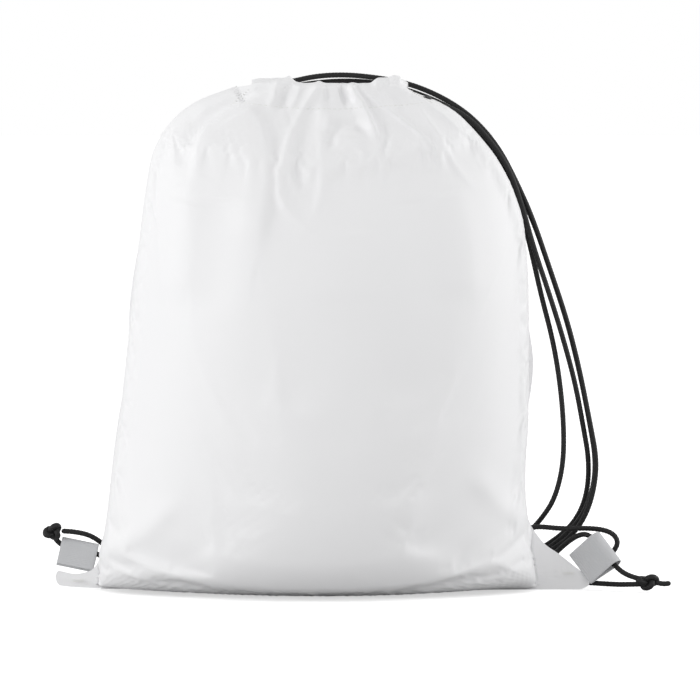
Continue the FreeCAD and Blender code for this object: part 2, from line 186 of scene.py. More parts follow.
# %% [markdown]
# ## Drawcords
# Each drawcord is a braided polyester cord, 3.5 mm thick and about 2 m long, tied into a closed
# strap. It starts at its knot, runs through both casings at the mouth, and ends at the same knot.
# The route is one smooth curve through points chosen along the way. The braid is real relief on a
# mesh tube that follows the curve: four strands wind each way round the cord and cross each other.

# %% The routes of the two cords
CORD = 3.5 * MM
LEFT_ROUTE = [
    # from the knot, behind the bag, up its right side and over the mouth
    (-176, 14.6, 38.3), (-162, 15.5, 37.8), (-149, 22, 30), (-139, 37, 16), (-120, 48, 6),
    (-92, 54, 1.85), (-50, 55.2, 1.85), (-10, 54.8, 1.85), (28, 55, 1.85), (66, 54.6, 1.85),
    (104, 49.5, 3.8), (138, 39, 14.5), (157, 32, 25), (169, 28.5, 35.5), (177, 26, 49),
    (182, 25, 66), (183.6, 23.8, 86), (178.5, 22, 112), (171.5, 19.5, 147), (162.8, 17, 181),
    (150.5, 14, 217), (139.5, 10.8, 249), (129.5, 9.7, 271.5), (117, 9.6, 296),
    (101, 10.8, 314.5), (86, 13.0, 325.5), (70, 17.5, 333.5), (54, 22.8, 338.9),
    (35, 23.8, 342.2), (15, 24.8, 344.1), (-5, 25, 343.2),
    (-24, 25.2, 338.8), (-46, 23.5, 335.5), (-61.6, 9, 333.2), (-56.6, -9.3, 329.4),
    # through the front casing, round its right end, back through the other
    (-34, -12.4, 329.4), (14, -12.9, 329.4), (45, -12.5, 329.4), (70, -12.3, 329.2),
    (70.4, 12.3, 329.2), (46, 12.5, 329.4), (12, 12.9, 329.4), (-18, 12.5, 329.4),
    # behind the mouth again, down the right side and to the corner loop
    (-42, 12.5, 329.2), (-65.6, 12.8, 327.6), (-65, 36.2, 326), (-42, 37, 330.5),
    (-16, 33, 337.2), (14, 29.6, 340.2), (42, 28.2, 337.8), (66, 24.4, 330.6), (86, 20, 321.5),
    (102, 18, 309.5), (118, 18.2, 291.5), (130, 18.4, 268), (140.5, 19, 246), (151.5, 20.8, 214),
    (163.5, 23, 178), (172, 25, 144), (179, 27.5, 109), (183.3, 29.5, 83.5), (181, 31, 62),
    (173.5, 33.2, 44.5), (160, 37.5, 29.5), (138, 45, 13.5), (102, 55.5, 2.8), (65, 60, 1.85),
    (26, 60.3, 1.85), (-14, 60, 1.85), (-54, 60.4, 1.85), (-95, 59.2, 1.85), (-124, 51.5, 3.0),
    (-140, 37, 8.0), (-144.5, 24, 15.6), (-150.5, 17.4, 22.4), (-163.5, 16.8, 25.4),
    (-178.5, 16.9, 28.6), (-181.5, 15.2, 36.0),
]
RIGHT_ROUTE = [
    # from the knot, through the corner loop, a slack fold behind the bag, and up the side
    (212.5, -8.0, 8.6), (203.5, -7.4, 10.4), (194.4, -4.9, 17.1), (181, 4.3, 34.4),
    (174.5, 8.6, 37.8), (165.5, 15.5, 32.5), (154, 27, 20), (141, 41, 5.5), (118, 70, 1.85),
    (86, 99, 1.85), (50, 100.4, 1.85), (16, 100.2, 1.85), (-18, 100.4, 1.85), (-18, 66.4, 1.85),
    (16, 66.6, 1.85), (62, 66.2, 1.85), (100, 63, 3.0), (136, 51, 15.5), (158.5, 44.5, 30),
    (171, 39.5, 43.5), (177.8, 36, 61.5), (178.6, 30.4, 84.5), (174.5, 24, 107),
    (168.8, 18.5, 137), (160.5, 14, 167.5), (150.9, 11, 198), (140.6, 8.2, 228), (132.5, 6, 257),
    (124, 5.0, 281.5), (111, 5.0, 301), (96, 5, 317), (80, 1.0, 324.9), (66, -6.5, 324.0),
    # through the front casing, round its left end, back through the other
    (54, -12.2, 323.8), (34, -12.6, 323.7), (4, -12.4, 323.4), (-24, -12.6, 323.6),
    (-49.5, -12.2, 323.4), (-49.8, 12.2, 323.4), (-24, 12.6, 323.5), (8, 12.3, 323.7),
    (34, 12.7, 323.6), (53, 12.4, 323.8),
    # down the side, a slack fold behind the bag, and past the loop to the knot
    (74, 13.2, 324.6), (92, 13.0, 315.3), (109, 13.4, 300), (122.5, 14, 280), (131.5, 14.6, 256),
    (138.6, 15, 228), (145.5, 15.6, 197), (153.5, 16.4, 167), (158.6, 17, 137), (161.2, 18, 107),
    (160.8, 19.5, 82), (155.5, 22.5, 59.5), (147, 27.5, 45.5), (137, 38, 33), (116, 58, 18),
    (90, 71, 3.8), (60, 71.6, 1.85), (24, 71.2, 1.85), (0, 71.3, 1.85), (0, 95, 1.85),
    (24, 95.2, 1.85), (48, 94.5, 1.85), (80, 92, 3.2), (108, 72, 15), (127, 43, 33),
    (141, 22, 41), (160, 15.4, 39.6), (180, 14.6, 40.4), (193, 12, 38.2), (198, 10.6, 31.5),
    (194, 11, 24), (185, 14, 15), (176.5, 15.5, 8.6), (170.5, 13.6, 5.6), (169.6, 8.2, 5.0),
    (174.5, 5.0, 4.8), (185, 4.0, 4.2), (198, 0.5, 3.9), (207, -3.4, 4.6), (212.5, -4.8, 4.9),
]


# %% From a route to an even line of points
def smooth_line(route, step):
    """Even points along the NURBS spline that has the route as its control points."""
    curve = bpy.data.curves.new("route", "CURVE")
    curve.dimensions = "3D"
    curve.resolution_u = 12
    spline = curve.splines.new("NURBS")
    spline.points.add(len(route) - 1)
    for point, place in zip(spline.points, route):
        point.co = (*(v * MM for v in place), 1)
    spline.order_u = 3
    spline.use_endpoint_u = True
    carrier = bpy.data.objects.new("route", curve)
    mesh = bpy.data.meshes.new_from_object(carrier)
    line = np.array([v.co for v in mesh.vertices])
    bpy.data.objects.remove(carrier)
    bpy.data.curves.remove(curve)
    bpy.data.meshes.remove(mesh)
    run = np.concatenate([[0], np.cumsum(np.linalg.norm(np.diff(line, axis=0), axis=1))])
    even = np.linspace(0, run[-1], int(run[-1] / step) + 1)
    return np.column_stack([np.interp(even, run, line[:, i]) for i in range(3)]), run[-1]


def cross_frames(line):
    """For each point of a line, the way it runs and two directions across it that don't twist."""
    ahead = np.gradient(line, axis=0)
    ahead /= np.linalg.norm(ahead, axis=1)[:, None]
    side = np.zeros_like(line)
    start = np.cross(ahead[0], (0.0, 0.0, 1.0))
    side[0] = start / np.linalg.norm(start)
    for i in range(1, len(line)):
        carried = side[i - 1] - ahead[i] * np.dot(side[i - 1], ahead[i])
        side[i] = carried / np.linalg.norm(carried)
    return ahead, side, np.cross(ahead, side)


# %% A braided tube
BRAID_STRANDS = 8            # in all, half of them each way round
BRAID_LAY = 9.0 * MM         # length over which a strand goes once round
BRAID_RELIEF = 0.13 * MM
BRAID_SINK = 0.6             # the share of a strand's height that sits at the cord's own radius
ROUND = 20
RING_STEP = 0.62 * MM


def mesh_piece(name, points, faces, material=None):
    """A mesh object from points and faces, at the origin."""
    mesh = bpy.data.meshes.new(name)
    mesh.from_pydata([tuple(p) for p in points], [], faces)
    mesh.update()
    piece = bpy.data.objects.new(name, mesh)
    bpy.context.collection.objects.link(piece)
    if material is not None:
        mesh.materials.append(material)
    return piece


def add_uv(piece, u, v):
    """A UV map whose values are given for each point."""
    layer = piece.data.uv_layers.new(name="cloth_mm")
    corners = np.empty(len(piece.data.loops), dtype=np.int32)
    piece.data.loops.foreach_get("vertex_index", corners)
    layer.data.foreach_set("uv", np.column_stack([u[corners], v[corners]]).astype(np.float32).ravel())


def braided_tube(name, line, radius, material, ends_round=True):
    """A closed tube along a line, with the crossing strands of a braid raised on it."""
    ahead, side, up = cross_frames(line)
    steps = np.linalg.norm(np.diff(line, axis=0), axis=1)
    run = np.concatenate([[0], np.cumsum(steps)])
    turn = np.arange(ROUND) * 2 * math.pi / ROUND
    along = run[:, None] * 2 * math.pi / BRAID_LAY
    one_way = np.cos(BRAID_STRANDS / 2 * (turn[None, :] + along))
    other_way = np.cos(BRAID_STRANDS / 2 * (turn[None, :] - along))
    relief = BRAID_RELIEF * (np.maximum(one_way, other_way) - BRAID_SINK)
    if ends_round:
        from_end = np.minimum(run, run[-1] - run)[:, None] / radius
        rounding = np.sqrt(np.clip(1 - (1 - np.clip(from_end, 0, 1)) ** 2, 0.02, 1))
    else:
        rounding = 1.0
    r = (radius + relief) * rounding
    ring = line[:, None, :] + r[..., None] * (
        np.cos(turn)[None, :, None] * side[:, None, :] + np.sin(turn)[None, :, None] * up[:, None, :]
    )
    points = ring.reshape(-1, 3)
    faces = []
    for i in range(len(line) - 1):
        a, b = i * ROUND, (i + 1) * ROUND
        for k in range(ROUND):
            n = (k + 1) % ROUND
            faces.append((a + k, a + n, b + n, b + k))
    faces.append(tuple(reversed(range(ROUND))))
    last = (len(line) - 1) * ROUND
    faces.append(tuple(last + k for k in range(ROUND)))
    piece = mesh_piece(name, points, faces, material)
    u = np.tile(np.arange(ROUND) / ROUND, len(line))
    add_uv(piece, u, np.repeat(run / MM, ROUND))
    for polygon in piece.data.polygons:
        polygon.use_smooth = True
    return piece


# %% [markdown]
# The cord is black braided polyester. Polyester filament is a little glossy, but the braid breaks
# the gloss into small glints, so the cord looks almost matte.

# %% Black polyester braid
braid, braid_shader = new_material("black_polyester_braid")
braid_shader.inputs["Base Color"].default_value = linear("#070708")
braid_shader.inputs["Roughness"].default_value = 0.62
braid_shader.inputs["Sheen Weight"].default_value = 0.04
braid_shader.inputs["Sheen Roughness"].default_value = 0.5

# %% Make both cords
cord_lines = {}
for name, route in (("left_drawcord", LEFT_ROUTE), ("right_drawcord", RIGHT_ROUTE)):
    line, length = smooth_line(route, RING_STEP)
    cord_lines[name] = (line, length)
    print(name, "is", round(length, 3), "m long")

for name, (line, length) in cord_lines.items():
    piece = braided_tube(name + "_braid", line, CORD / 2, braid)
    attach(piece, "bag")
    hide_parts(name)

# %% [markdown]
# Both ends of a cord are tied together in one overhand knot, which keeps them from slipping back
# through the loop. The knot is drawn as a closed trefoil, whose formula gives the three lobes of an
# overhand knot that has been pulled tight. The cord's own ends stop beside it and aren't joined to
# it. The right knot lies flatter, with the cut ends past it.


# %% Overhand knots
def overhand(middle, along, up, lobes, height):
    """The line of a tight overhand knot about its middle; along and up give its plane."""
    t = np.linspace(0, 2 * math.pi, 130)
    along, up = Vector(along).normalized(), Vector(up).normalized()
    out = along.cross(up)
    flat = np.stack([np.sin(t) + 2 * np.sin(2 * t), np.cos(t) - 2 * np.cos(2 * t)], -1) * lobes
    line = (flat[:, :1] * np.array(along) + flat[:, 1:] * np.array(up)
            + (-np.sin(3 * t) * height)[:, None] * np.array(out))
    return (np.array(middle) + line) * MM


KNOT_STRAND = 1.95           # the cord is squeezed a little thicker where it is knotted
knot_pieces = {}
for name, middle, along, up, lobes, height in (
    ("left", (-181.6, 14.2, 37.8), (0.86, 0, 0.5), (-0.5, 0, 0.86), (1.75, 1.45), 2.5),
    ("right", (216.4, -6.4, 6.6), (1, 0, 0), (0, 0.35, 0.94), (2.25, 1.3), 2.6),
):
    print(name, "knot at", middle, "mm")
    line = overhand(middle, along, up, lobes, height)
    knot = braided_tube(name + "_overhand_knot", line, KNOT_STRAND * MM, braid, ends_round=False)
    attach(knot, "bag")
    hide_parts(name + "_knot")
    knot_pieces[name] = [knot]

TAIL_START = (221, -6.6, 6.6)
TAIL_LENGTH = 11.0
TAIL_SAG = 1.2
tail_line = np.array([
    (TAIL_START[0] + TAIL_LENGTH * t, TAIL_START[1] - 0.8 * t, TAIL_START[2] - TAIL_SAG * math.sin(2.6 * t))
    for t in np.linspace(0, 1, 24)
])
tail = braided_tube("right_cord_ends", tail_line * MM, CORD / 2, braid)
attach(tail, "bag")
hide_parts("right_knot")
knot_pieces["right"].append(tail)

# %% [markdown]
# ## Webbing loops
# A short length of 25 mm polypropylene webbing is folded in half and caught in each bottom corner.
# Its weft ribs run across it, side by side. Each loop hinges a little on its seam.

# %% Webbing, greyed with painted shade
webbing, webbing_shader = new_material("polypropylene_webbing_painted_shade")
# The grey base colour is painted shade: it stands in for the shade that falls on the loops' tilted, wrinkled
# faces.
webbing_shader.inputs["Base Color"].default_value = linear("#c3c4c6")
webbing_shader.inputs["Roughness"].default_value = 0.6
webbing_shader.inputs["Sheen Weight"].default_value = 0.1

# %% Ribbed loops
# all in millimetres
WEBBING_WIDTH = 25.0
WEBBING_THICKNESS = 1.0
LOOP_LENGTH = 26.0
LOOP_BORE = 10.0
ROOT_CLEAR = 0.5             # the strap starts this far from its root
ROOT_GAP = 0.05              # between each leg's inner face and the middle, at the root
RIB_PITCH = 1.45
RIB_DEPTH = 0.13
EDGE_STARTS = 0.96           # share of the half width where the edge begins to round off


def loop_line(step=0.24):
    """The middle of the folded strap from root to root, as normal and lengthwise distances."""
    radius = (LOOP_BORE + WEBBING_THICKNESS) / 2
    high = LOOP_LENGTH - LOOP_BORE / 2 - WEBBING_THICKNESS
    foot = (WEBBING_THICKNESS / 2 + ROOT_GAP, ROOT_CLEAR)
    away = math.hypot(high - foot[1], foot[0])
    lean = math.atan2(foot[0], high - foot[1])
    turn = math.asin(radius / away) - lean
    touch = (radius * math.cos(turn), high - radius * math.sin(turn))
    leg = np.array([foot, touch])
    sweep = np.linspace(-turn, math.pi + turn, 60)
    fold = np.stack([radius * np.cos(sweep), high + radius * np.sin(sweep)], -1)
    line = np.concatenate([leg, fold[1:], [(-foot[0], foot[1])]])
    run = np.concatenate([[0], np.cumsum(np.linalg.norm(np.diff(line, axis=0), axis=1))])
    even = np.linspace(0, run[-1], int(run[-1] / step))
    return np.column_stack([np.interp(even, run, line[:, k]) for k in range(2)]), even


def webbing_loop(name, root, points, across, body):
    """A folded strap whose ribs are real, standing on its root."""
    across = Vector(across).normalized()
    lengthwise = Vector(points)
    lengthwise = (lengthwise - across * lengthwise.dot(across)).normalized()
    normal = lengthwise.cross(across)
    line, run = loop_line()
    tangent = np.gradient(line, axis=0)
    tangent /= np.linalg.norm(tangent, axis=1)[:, None]
    outward = np.column_stack([tangent[:, 1], -tangent[:, 0]])
    ribs = RIB_DEPTH * np.abs(np.cos(math.pi * run / RIB_PITCH)) - RIB_DEPTH
    half = WEBBING_THICKNESS / 2 + ribs
    half_width = WEBBING_WIDTH / 2
    section = []                       # once round the strap: place across, and which face
    places = np.concatenate([[-1.0, -0.985], np.linspace(-EDGE_STARTS, EDGE_STARTS, 13), [0.985, 1.0]])
    for place in places:
        past = max(0, (abs(place) - EDGE_STARTS) / 0.04)
        section.append((place, math.sqrt(max(0.06, 1 - past**2))))
    ring = section + [(p, -h) for p, h in reversed(section)]
    points = []
    for (n, l), (out_n, out_l), h in zip(line, outward, half):
        for place, face in ring:
            a = place * half_width
            nn, ll = n + out_n * h * face, l + out_l * h * face
            points.append(np.array(root) + a * np.array(across) + nn * np.array(normal)
                          + ll * np.array(lengthwise))
    count = len(ring)
    faces = []
    for i in range(len(line) - 1):
        for k in range(count):
            n = (k + 1) % count
            faces.append((i * count + k, (i + 1) * count + k, (i + 1) * count + n, i * count + n))
    faces.append(tuple(range(count)))
    last = (len(line) - 1) * count
    faces.append(tuple(last + k for k in reversed(range(count))))
    piece = mesh_piece(name, np.array(points) * MM, faces, webbing)
    repair = bmesh.new()
    repair.from_mesh(piece.data)
    bmesh.ops.recalc_face_normals(repair, faces=repair.faces)
    repair.to_mesh(piece.data)
    repair.free()
    piece.data.polygons.foreach_set("use_smooth", [True] * len(piece.data.polygons))
    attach(piece, body)
    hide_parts(name.replace("_ribbed", ""))
    print(name, "has", int(run[-1] / RIB_PITCH), "ribs")


webbing_loop(
    "left_webbing_loop_ribbed", (-166.5, 0, 15.2), (0.13, 0.84, 0.53), (0.979, 0, -0.203), "left_loop"
)
webbing_loop(
    "right_webbing_loop_ribbed", (171.2, 0, 13.9), (0.788, 0, 0.616), (0.567, -0.39, -0.725), "right_loop"
)

# %% [markdown]
# ## The cloth
# The bag is cut from two rectangles of coated polyester taffeta, sewn together down both sides
# and along the bottom, with a turned-over hem along each top edge for the drawcords. Filled, each
# panel swells between its seams, the two bottom corners stay flat as ears, and the mouth gathers.
# Each panel is built here as one grid, with a column for each step across and a row for each step
# up. A table says where the two seams and the middle of the panel run, row by row.

# %% Rows of the panel, in millimetres
# share of the way up, left seam x and z, middle depth and z, right seam x and z, flat ear at the
# left and right as a share of the row
ROWS = [
    (0.000, -178.6, 5.6, 0.2, 0.4, 173.0, 1.0, 0.088, 0.110),
    (0.012, -179.4, 9.0, 5.0, 0.4, 178.0, 4.6, 0.086, 0.112),
    (0.022, -177.6, 13.4, 9.0, 0.4, 176.5, 8.7, 0.080, 0.100),
    (0.045, -166.0, 11.2, 19.0, 0.4, 166.0, 17.8, 0.048, 0.075),
    (0.070, -155.5, 13.6, 29.0, 0.5, 155.5, 26.0, 0.020, 0.045),
    (0.085, -151.0, 19.0, 35.5, 0.9, 149.5, 30.0, 0.006, 0.028),
    (0.105, -148.5, 28.0, 43.0, 2.4, 143.5, 36.5, 0.000, 0.012),
    (0.130, -146.8, 39.0, 52.0, 6.5, 138.3, 45.0, 0.000, 0.003),
    (0.160, -144.6, 54.0, 63.0, 14.0, 134.8, 57.0, 0.000, 0.000),
    (0.210, -141.6, 80.0, 75.0, 31.0, 134.8, 80.0, 0.000, 0.000),
    (0.300, -135.8, 120.0, 83.0, 66.0, 136.8, 118.0, 0.000, 0.000),
    (0.400, -131.0, 162.0, 86.0, 107.0, 137.0, 160.0, 0.000, 0.000),
    (0.500, -126.5, 203.0, 85.5, 148.0, 136.6, 202.0, 0.000, 0.000),
    (0.600, -121.8, 243.0, 82.0, 189.0, 133.6, 243.0, 0.000, 0.000),
    (0.680, -118.2, 270.0, 76.0, 221.0, 126.0, 269.0, 0.000, 0.000),
    (0.750, -114.6, 290.0, 67.5, 249.0, 115.0, 290.0, 0.000, 0.000),
    (0.810, -108.5, 304.0, 56.5, 272.0, 104.6, 303.4, 0.000, 0.000),
    (0.860, -101.5, 313.5, 45.0, 289.5, 96.6, 312.2, 0.000, 0.000),
    (0.895, -95.0, 320.0, 36.0, 301.0, 90.6, 318.0, 0.000, 0.000),
    (0.920, -89.5, 324.0, 30.0, 309.0, 85.6, 321.8, 0.000, 0.000),
    (0.940, -84.0, 327.3, 25.5, 316.0, 80.4, 325.0, 0.000, 0.000),
    (0.960, -76.0, 331.0, 22.3, 323.0, 74.0, 328.0, 0.000, 0.000),
    (0.980, -66.5, 334.3, 20.4, 330.0, 65.6, 331.2, 0.000, 0.000),
    (1.000, -57.5, 337.2, 19.0, 336.5, 57.0, 334.0, 0.000, 0.000),
]
# how square a row's section is: 1 is an ellipse, less is squarer
SQUARENESS = [(0.0, 0.40), (0.1, 0.45), (0.25, 0.85), (0.4, 0.95), (0.8, 0.95), (0.9, 0.8), (0.95, 0.55),
              (1.0, 0.45)]
# the same for how soon a row drops from its seams to its middle height
DROP = [(0.0, 0.22), (0.1, 0.22), (0.2, 0.45), (0.35, 0.7), (1.0, 0.7)]
COLUMNS = 200
LINES = 225
CLOTH = 0.22                 # thickness
FLAT_WIDTH = 360.0
FLAT_HEIGHT = 410.0
INNER_PLY = 4.6              # from the middle of the mouth to the hem's inner ply


def through(table, at):
    """A smooth curve through the rows of a table, whose first column is the place along it."""
    table = np.array(table, float)
    x, y = table[:, 0], table[:, 1:]
    slope = np.diff(y, axis=0) / np.diff(x)[:, None]
    tangent = np.zeros_like(y)
    tangent[0], tangent[-1] = slope[0], slope[-1]
    same_way = slope[:-1] * slope[1:] > 0
    mean = 2 * slope[:-1] * slope[1:] / np.where(same_way, slope[:-1] + slope[1:], 1)
    tangent[1:-1] = np.where(same_way, mean, 0)
    i = np.clip(np.searchsorted(x, at) - 1, 0, len(x) - 2)
    h = (x[i + 1] - x[i])[..., None]
    t = ((at - x[i]) / (x[i + 1] - x[i]))[..., None]
    start, end = y[i], y[i + 1]
    a, b = tangent[i] * h, tangent[i + 1] * h
    return ((2 * t**3 - 3 * t**2 + 1) * start + (t**3 - 2 * t**2 + t) * a
            + (3 * t**2 - 2 * t**3) * end + (t**3 - t**2) * b)


def smoothstep(low, high, value):
    """0 below low, 1 above high, and a smooth rise between them."""
    t = np.clip((value - low) / (high - low), 0, 1)
    return t * t * (3 - 2 * t)


def plain_panel(side):
    """The swollen panel without its folds, as a grid of points; side is -1 in front, 1 behind."""
    v = np.linspace(0, 1, LINES)
    u = np.linspace(0, 1, COLUMNS)
    left_x, left_z, depth, middle_z, right_x, right_z, ear_left, ear_right = through(ROWS, v).T
    squareness = through(SQUARENESS, v)[:, 0]
    inside = (u[None, :] - ear_left[:, None]) / (1 - ear_left - ear_right)[:, None]
    w = np.clip(inside, 0, 1)
    swell = np.sin(math.pi * w) ** squareness[:, None]
    across = np.where(
        (inside > 0) & (inside < 1),
        ear_left[:, None] + (1 - ear_left - ear_right)[:, None] * (1 - np.cos(math.pi * w)) / 2,
        u[None, :],
    )
    x = left_x[:, None] + (right_x - left_x)[:, None] * across
    side_z = left_z[:, None] + (right_z - left_z)[:, None] * across
    rise = np.sin(math.pi * across) ** through(DROP, v)
    z = side_z + (middle_z[:, None] - side_z) * rise
    y = side * depth[:, None] * swell
    return np.stack([x, y, z], axis=-1), u, v


def normals_of(grid, side):
    """Outward normals of a grid of points."""
    across = np.gradient(grid, axis=1)
    up = np.gradient(grid, axis=0)
    normal = np.cross(across, up) * (-side)
    return normal / np.maximum(np.linalg.norm(normal, axis=-1, keepdims=True), 1e-9)


# %% [markdown]
# ## Folds
# Gathering a wide edge into a short one throws the cloth into pleats that run down from the mouth
# and die out over the swell. Each fold is one stroke: a line drawn as the bag is seen from the
# front, a height, and how far it falls away on its left and on its right. A small width on one
# side and a large one on the other makes the rolled lip of a pleat. Negative heights are hollows.

# %% Folds of the front panel
SLOPE_OF_VIEW = 0.087        # the folds are drawn as seen from a little above
# points (x, z) from the top down, height, width on the left, width on the right, sharpness
FRONT_FOLDS = [
    # the long left pleat, its hollow, and the V that it ends in
    ([(-1.6, 341), (-4.1, 336), (-11.8, 324), (-16.9, 313), (-22, 302), (-25, 291), (-28.1, 281),
      (-29, 273), (-28.2, 264), (-25, 256.5), (-19, 250), (-12.5, 243.5)], 2.6, 3.2, 8.0, 1.4),
    ([(-8, 322), (-13, 308), (-15, 294), (-15.5, 278), (-14, 262)], -1.8, 6.5, 6.5, 2.0),
    ([(-1.6, 325), (-2.1, 306), (-1.6, 297), (0, 283), (-1, 268), (-4.5, 254), (-11.5, 244)],
     1.1, 3.0, 9.0, 1.4),
    # the swell to its left
    ([(-50, 321), (-42, 308), (-38.5, 292), (-38.5, 272), (-41, 250), (-44, 225)],
     3.4, 22.0, 6.0, 2.0),
    # the hood under the casing and the puff inside it
    ([(5, 297), (6.5, 305), (13, 311), (21, 312), (28, 307), (31, 300)], -1.6, 3.2, 3.2, 2.0),
    ([(3.4, 315), (3.2, 304)], 1.3, 3.5, 3.0, 2.0),
    ([(17, 302), (18, 292)], 1.3, 8.0, 8.0, 2.0),
    ([(22, 297), (29, 288)], 0.9, 3.0, 3.0, 1.6),
    # the short bright pleat right of the middle, with its blunt end
    ([(15.8, 340), (19.8, 334), (26, 325), (31, 314), (34, 306), (37, 297.5)], 3.2, 5.5, 2.2, 1.6),
    ([(40, 312), (42.5, 303), (40.5, 294)], -1.3, 2.5, 4.0, 1.6),
    ([(45, 300), (44, 292)], 0.9, 2.5, 3.0, 2.0),
    # the long pleat that runs out to the right shoulder, with its round end
    ([(21.9, 339), (31, 330), (41, 322), (54.5, 311.5), (66.8, 302), (74.9, 296), (79.5, 293.8)],
     2.2, 1.6, 9.0, 1.3),
    ([(62.7, 323), (69, 313), (76, 303.5), (81.6, 294.5), (91, 281), (101.5, 270)],
     1.5, 2.6, 3.4, 1.3),
    ([(48, 322), (60, 311), (71, 301), (78, 296)], -1.3, 3.6, 3.6, 2.0),
    # thin pleats towards the right end of the mouth
    ([(40, 339), (54.5, 333), (66.8, 326), (79, 317), (90, 307.5), (97.5, 302.5)],
     1.5, 2.2, 5.0, 1.4),
    ([(47, 339), (60, 334.5), (74, 327), (85, 318)], -1.0, 2.4, 2.4, 1.8),
    ([(36, 334), (47, 327), (58, 318)], -1.0, 4.0, 3.0, 2.0),
    ([(63, 300), (61, 290), (57, 278)], 1.0, 5.0, 4.0, 1.6),
    ([(64, 298), (68.5, 288), (74, 278)], 0.9, 3.0, 5.0, 1.6),
    # the left shoulder: a lip from the mouth down to a point, and the hollow above it
    ([(-29, 334), (-41, 330), (-54, 323), (-68, 314), (-77, 308.5), (-80.5, 300), (-84, 292.5),
      (-88.5, 283.5), (-93.4, 277.4)], 2.8, 2.6, 24.0, 1.5),
    ([(-52, 329), (-70, 320), (-84, 309), (-91, 299), (-94, 288)], -2.6, 7.0, 5.0, 2.0),
    ([(-99, 303), (-101, 292), (-100, 280)], 1.4, 4.0, 4.0, 2.0),
    ([(-44, 335), (-62, 329), (-78, 321), (-90, 313)], 1.2, 2.0, 3.0, 1.6),
    # small tucks along the casing
    ([(-30, 340), (-32, 330), (-36, 320)], 1.3, 3.0, 3.0, 1.6),
    ([(-21, 340), (-24, 330), (-31, 316)], -1.4, 2.6, 3.2, 1.8),
    ([(-14, 340), (-17, 331), (-22, 320)], 1.0, 2.2, 2.6, 1.6),
    ([(-2.6, 343), (-2.6, 337)], 1.6, 2.8, 1.0, 2.2),
    ([(1.4, 342), (2.4, 332), (4, 324)], -1.2, 1.4, 3.0, 1.8),
    ([(11.2, 342), (14.5, 330), (17.2, 322.5)], -2.4, 2.6, 4.4, 6.0),
    ([(26.5, 342), (27.5, 336)], -2.4, 3.4, 2.0, 4.0),
    ([(33, 342), (37, 334), (44, 326)], 1.2, 2.4, 3.0, 1.6),
    ([(41, 344), (44, 336)], -1.2, 2.0, 2.0, 2.0),
    ([(47, 345), (51, 336)], 1.6, 3.0, 2.0, 1.8),
    # slow waves over the swell, from its uneven filling
    ([(-92, 262), (-98, 230), (-101, 190)], 1.8, 12.0, 12.0, 2.0),
    ([(-66, 262), (-70, 230), (-74, 180)], -1.5, 16.0, 14.0, 2.0),
    ([(88, 268), (96, 235), (99, 190)], 1.4, 14.0, 10.0, 2.0),
    ([(60, 262), (66, 225), (70, 180)], -1.2, 14.0, 14.0, 2.0),
    ([(10, 240), (12, 190)], 0.8, 26.0, 26.0, 2.0),
    ([(-150, 24), (-120, 40), (-95, 66)], 1.6, 8.0, 10.0, 2.0),
    ([(138, 44), (116, 62), (98, 84)], 1.6, 10.0, 8.0, 2.0),
]


# The back of the bag: plain gathers that fan out from the mouth.
BACK_FOLDS = [
    ([(-40, 334), (-62, 322), (-82, 304), (-92, 284)], 2.2, 3.0, 9.0, 1.5),
    ([(-28, 338), (-44, 318), (-58, 296), (-66, 268)], 2.0, 3.0, 7.0, 1.5),
    ([(-14, 338), (-22, 312), (-30, 286), (-34, 256)], 2.2, 6.0, 3.0, 1.5),
    ([(0, 338), (-2, 310), (-6, 284)], 1.6, 3.0, 6.0, 1.6),
    ([(12, 338), (14, 312), (18, 282), (20, 258)], 2.4, 3.5, 7.0, 1.4),
    ([(24, 338), (34, 312), (44, 288), (50, 262)], 2.0, 6.0, 3.0, 1.5),
    ([(36, 338), (54, 318), (70, 296), (80, 270)], 2.2, 3.0, 7.0, 1.4),
    ([(48, 336), (68, 324), (86, 306), (94, 288)], 1.6, 2.6, 5.0, 1.5),
    ([(-90, 250), (-98, 200), (-100, 150)], 1.8, 14.0, 14.0, 2.0),
    ([(86, 250), (94, 200), (98, 150)], 1.8, 14.0, 14.0, 2.0),
    ([(-30, 220), (-26, 150)], 1.2, 24.0, 24.0, 2.0),
]


def taper(along):
    """1 along most of a stroke, falling to 0 at its lower end."""
    return smoothstep(0.0, 0.06, along + 0.03) * (1 - smoothstep(0.72, 1.0, along) * 0.85)


def stroke(x, z, points, height, left, right, sharpness):
    """How far one fold lifts the cloth at each place."""
    points = np.array(points, float)
    runs = np.diff(points, axis=0)
    lengths = np.linalg.norm(runs, axis=1)
    start = np.concatenate([[0], np.cumsum(lengths)])
    nearest = np.full(x.shape, np.inf)
    lift = np.zeros_like(x)
    for i, (run, length) in enumerate(zip(runs, lengths)):
        dx, dz = x - points[i, 0], z - points[i, 1]
        t = np.clip((dx * run[0] + dz * run[1]) / length**2, 0, 1)
        away = np.hypot(dx - t * run[0], dz - t * run[1])
        on_right = (dx * run[1] - dz * run[0]) < 0
        width = np.where(on_right, right, left)
        along = (start[i] + t * length) / start[-1]
        value = height * taper(along) * np.exp(-((away / width) ** sharpness))
        closer = away < nearest
        lift = np.where(closer, value, lift)
        nearest = np.minimum(nearest, away)
    return lift


def folded(grid, side, folds):
    """The panel with its folds: every point is moved along its normal."""
    seen_z = grid[..., 2] - SLOPE_OF_VIEW * np.abs(grid[..., 1])
    normal = normals_of(grid, side)
    lift = sum(stroke(grid[..., 0], seen_z, *fold) for fold in folds)
    near_seam = smoothstep(0, 7, np.abs(grid[..., 1]))
    above_floor = smoothstep(0, 12, grid[..., 2])
    return grid + normal * (lift * near_seam * above_floor)[..., None]


# %% [markdown]
# ## Letting the cloth settle
# The drawn folds are only a start. Blender's cloth solver then lets the panel find its own way
# between its seams, with a little pressure from inside. It runs on every second line of the grid,
# its borders are held, and no point may go further than a few millimetres.

# %% Settle a panel with the cloth solver
SETTLE_FRAMES = 14
SETTLE_CAP = 4.0             # mm


